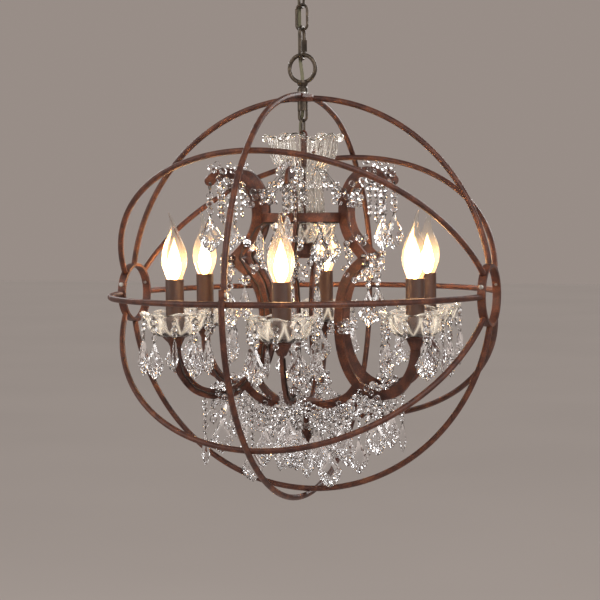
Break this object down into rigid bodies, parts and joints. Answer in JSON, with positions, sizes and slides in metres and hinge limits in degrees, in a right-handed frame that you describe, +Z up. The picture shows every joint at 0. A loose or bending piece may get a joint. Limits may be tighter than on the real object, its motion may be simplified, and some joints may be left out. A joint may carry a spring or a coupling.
{
  "type": "orb chandelier",
  "caption": "Hanging orb chandelier: rusted iron hoops round a crystal-hung candelabra of scrolled arms, on a short chain with a ceiling canopy.",
  "frame": {"origin": "centre of the crossbar's two screw holes, in the plane of the ceiling", "axes": "+Z up into the ceiling, X along the axis through the orb's two hub rings, +Y towards the side of the quick link's sleeve"},
  "size_m": [0.542, 0.5748, 0.7725],
  "materials": {
    "rust_iron": "rusted brown iron, matt",
    "dark_bronze": "dark bronze, satin",
    "bright_steel": "plain steel, satin",
    "clear_glass": "clear pressed glass",
    "cut_crystal": "clear cut crystal",
    "bulb_glass": "clear bulb glass",
    "candle_sleeve": "brown candle cover, matt",
    "lampholder": "black, matt",
    "supply_cord": "olive braided cover",
    "arm_wire": "brown, matt"
  },
  "bodies": {
    "ceiling_mount": {"canopy": "dark_bronze", "ceiling_crossbar": "bright_steel", "canopy_nipple": "bright_steel", "nipple_nut": "bright_steel", "canopy_loop": "dark_bronze", "supply_cord": "supply_cord"},
    "upper_chain_link": {"upper_link": "dark_bronze"},
    "oval_chain_link": {"oval_link": "dark_bronze"},
    "quick_link": {"quick_link": "dark_bronze"},
    "quick_sleeve": {"quick_link_sleeve": "dark_bronze"},
    "orb": {"hanging_ring": "dark_bronze", "stem_washer": "bright_steel", "orb_stem": "bright_steel", "lower_loop": "dark_bronze", "hoop_top": "rust_iron", "hoop_upper_back": "rust_iron", "hoop_upper_front": "rust_iron", "hoop_bottom": "rust_iron", "hoop_lower_back": "rust_iron", "hoop_lower_front": "rust_iron", "hoop_equator_back": "rust_iron", "hoop_equator_front": "rust_iron", "cross_hoop_upper": "rust_iron", "cross_hoop_lower": "rust_iron", "hub_left_upper": "rust_iron", "hub_left_lower": "rust_iron", "hub_right_upper": "rust_iron", "hub_right_lower": "rust_iron", "cage_screws": "bright_steel"},
    "hanger_link": {"hanger_link": "dark_bronze"},
    "chandelier": {"centre_rod": "rust_iron", "crown_ring": "rust_iron", "flower_vase": "clear_glass", "crown_dish": "clear_glass", "crown_cup": "rust_iron", "bottom_hub": "rust_iron", "bottom_dish": "clear_glass", "bottom_finial": "rust_iron", "arm_1": "rust_iron", "arm_2": "rust_iron", "arm_3": "rust_iron", "arm_4": "rust_iron", "arm_5": "rust_iron", "arm_6": "rust_iron", "candle_cups": "rust_iron", "bobeches": "clear_glass", "lampholders": "lampholder", "candle_sleeves": "candle_sleeve", "bulbs": "bulb_glass", "arm_wires": "arm_wire", "bobeche_pendants": "cut_crystal", "bead_rosettes": "cut_crystal", "bead_swags": "cut_crystal", "lower_pendants": "cut_crystal"},
    "scroll_pendant_1": {"scroll_pendant_1": "cut_crystal"},
    "scroll_pendant_2": {"scroll_pendant_2": "cut_crystal"},
    "scroll_pendant_3": {"scroll_pendant_3": "cut_crystal"},
    "scroll_pendant_4": {"scroll_pendant_4": "cut_crystal"},
    "scroll_pendant_5": {"scroll_pendant_5": "cut_crystal"},
    "scroll_pendant_6": {"scroll_pendant_6": "cut_crystal"}
  },
  "joints": [
    {"name": "upper_link_swing", "type": "hinge", "parent": "ceiling_mount", "child": "upper_chain_link", "pos_m": [0, 0, -0.05635], "axis": [1, 0, 0], "range_deg": [-25, 25], "deforming": ["supply_cord"]},
    {"name": "oval_link_swing", "type": "hinge", "parent": "upper_chain_link", "child": "oval_chain_link", "pos_m": [0, 0, -0.0875], "axis": [0, 1, 0], "range_deg": [-25, 25]},
    {"name": "quick_link_swing", "type": "hinge", "parent": "oval_chain_link", "child": "quick_link", "pos_m": [0, 0, -0.119], "axis": [1, 0, 0], "range_deg": [-25, 25]},
    {"name": "quick_sleeve_slide", "type": "slide", "parent": "quick_link", "child": "quick_sleeve", "axis": [0, 0, 1], "range_m": [0, 0.0072]},
    {"name": "orb_swing", "type": "hinge", "parent": "quick_link", "child": "orb", "pos_m": [0, 0, -0.1583], "axis": [0, 1, 0], "range_deg": [-20, 20]},
    {"name": "hanger_link_swing", "type": "hinge", "parent": "orb", "child": "hanger_link", "pos_m": [0, 0, -0.2444], "axis": [1, 0, 0], "range_deg": [-2, 2]},
    {"name": "chandelier_swing", "type": "hinge", "parent": "hanger_link", "child": "chandelier", "pos_m": [0, 0, -0.2615], "axis": [0, 1, 0], "range_deg": [-2, 2]},
    {"name": "scroll_pendant_1_swing", "type": "hinge", "parent": "chandelier", "child": "scroll_pendant_1", "pos_m": [0.10181, 0.09167, -0.3304], "axis": [-0.6691, 0.7431, 0], "range_deg": [-20, 20]},
    {"name": "scroll_pendant_2_swing", "type": "hinge", "parent": "chandelier", "child": "scroll_pendant_2", "pos_m": [-0.02848, 0.13401, -0.3304], "axis": [-0.9781, -0.2079, 0], "range_deg": [-20, 20]},
    {"name": "scroll_pendant_3_swing", "type": "hinge", "parent": "chandelier", "child": "scroll_pendant_3", "pos_m": [-0.13029, 0.04234, -0.3304], "axis": [-0.309, -0.9511, 0], "range_deg": [-20, 20]},
    {"name": "scroll_pendant_4_swing", "type": "hinge", "parent": "chandelier", "child": "scroll_pendant_4", "pos_m": [-0.10181, -0.09167, -0.3304], "axis": [0.6691, -0.7431, 0], "range_deg": [-20, 20]},
    {"name": "scroll_pendant_5_swing", "type": "hinge", "parent": "chandelier", "child": "scroll_pendant_5", "pos_m": [0.02848, -0.13401, -0.3304], "axis": [0.9781, 0.2079, 0], "range_deg": [-20, 20]},
    {"name": "scroll_pendant_6_swing", "type": "hinge", "parent": "chandelier", "child": "scroll_pendant_6", "pos_m": [0.13029, -0.04234, -0.3304], "axis": [0.309, 0.9511, 0], "range_deg": [-20, 20]}
  ]
}
